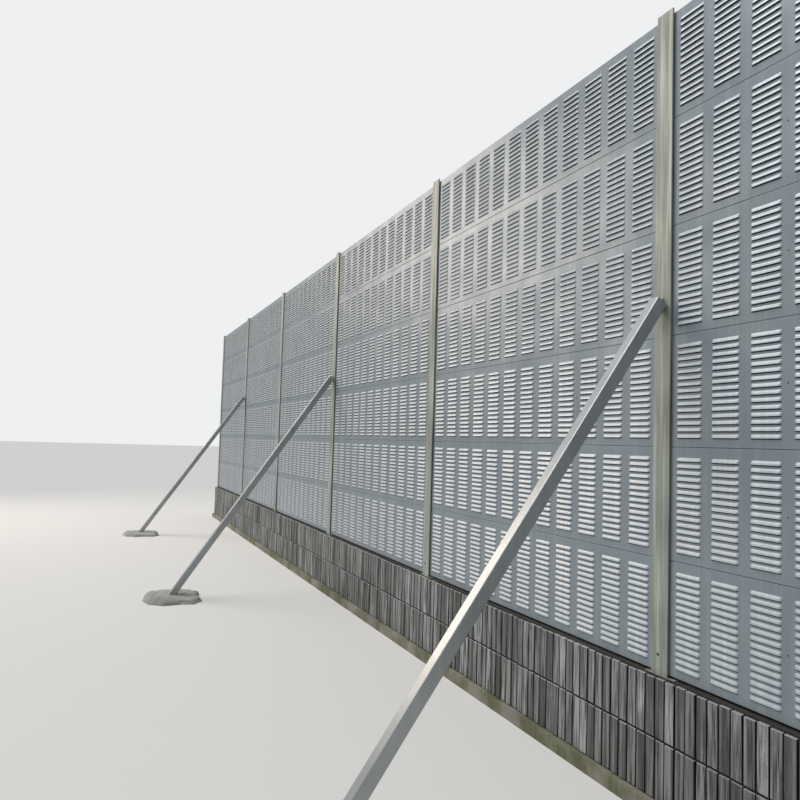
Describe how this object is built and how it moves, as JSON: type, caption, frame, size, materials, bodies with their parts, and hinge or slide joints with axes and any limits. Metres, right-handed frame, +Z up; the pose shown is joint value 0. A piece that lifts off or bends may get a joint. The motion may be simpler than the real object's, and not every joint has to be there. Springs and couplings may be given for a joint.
{
  "type": "noise barrier section",
  "caption": "Roadside noise barrier of stacked louvred metal panels slotted between H-section posts, on a tiled plinth wall with raking tube struts.",
  "frame": {"origin": "on the ground under the middle post's axis, in the bottom face of the footing strip", "axes": "+X along the wall, -Y towards the louvred side with the struts, +Z up"},
  "size_m": [15.27, 2.099, 3.63],
  "materials": {
    "panel_paint": "weathered pale blue-grey coated sheet",
    "post_steel": "weathered galvanised steel with streaks",
    "strut_steel": "dull galvanised tube",
    "seal": "black matt",
    "masonry": "weathered mortar and block",
    "tile": "rough split-face tile with pale runs",
    "concrete": "rough concrete, mossy",
    "pad_concrete": "rough poured concrete"
  },
  "bodies": {
    "root": {"footing_strip": "concrete", "plinth_wall": "masonry", "front_tiles": "tile", "back_tiles": "tile", "end_tiles": "tile", "base_seals": "seal", "upright_seals": "seal", "strut_pads": "pad_concrete", "post_1": "post_steel", "post_2": "post_steel", "post_3": "post_steel", "post_4": "post_steel", "post_5": "post_steel", "post_6": "post_steel", "post_7": "post_steel", "strut_1": "strut_steel", "strut_2": "strut_steel", "strut_3": "strut_steel", "panel_1_1": "panel_paint", "panel_1_2": "panel_paint", "panel_1_3": "panel_paint", "panel_1_4": "panel_paint", "panel_1_5": "panel_paint", "panel_1_6": "panel_paint", "panel_2_1": "panel_paint", "panel_2_2": "panel_paint", "panel_2_3": "panel_paint", "panel_2_4": "panel_paint", "panel_2_5": "panel_paint", "panel_2_6": "panel_paint", "panel_3_1": "panel_paint", "panel_3_2": "panel_paint", "panel_3_3": "panel_paint", "panel_3_4": "panel_paint", "panel_3_5": "panel_paint", "panel_3_6": "panel_paint", "panel_4_1": "panel_paint", "panel_4_2": "panel_paint", "panel_4_3": "panel_paint", "panel_4_4": "panel_paint", "panel_4_5": "panel_paint", "panel_4_6": "panel_paint", "panel_5_1": "panel_paint", "panel_5_2": "panel_paint", "panel_5_3": "panel_paint", "panel_5_4": "panel_paint", "panel_5_5": "panel_paint", "panel_5_6": "panel_paint", "panel_6_1": "panel_paint", "panel_6_2": "panel_paint", "panel_6_3": "panel_paint", "panel_6_4": "panel_paint", "panel_6_5": "panel_paint", "panel_6_6": "panel_paint"}
  },
  "joints": []
}
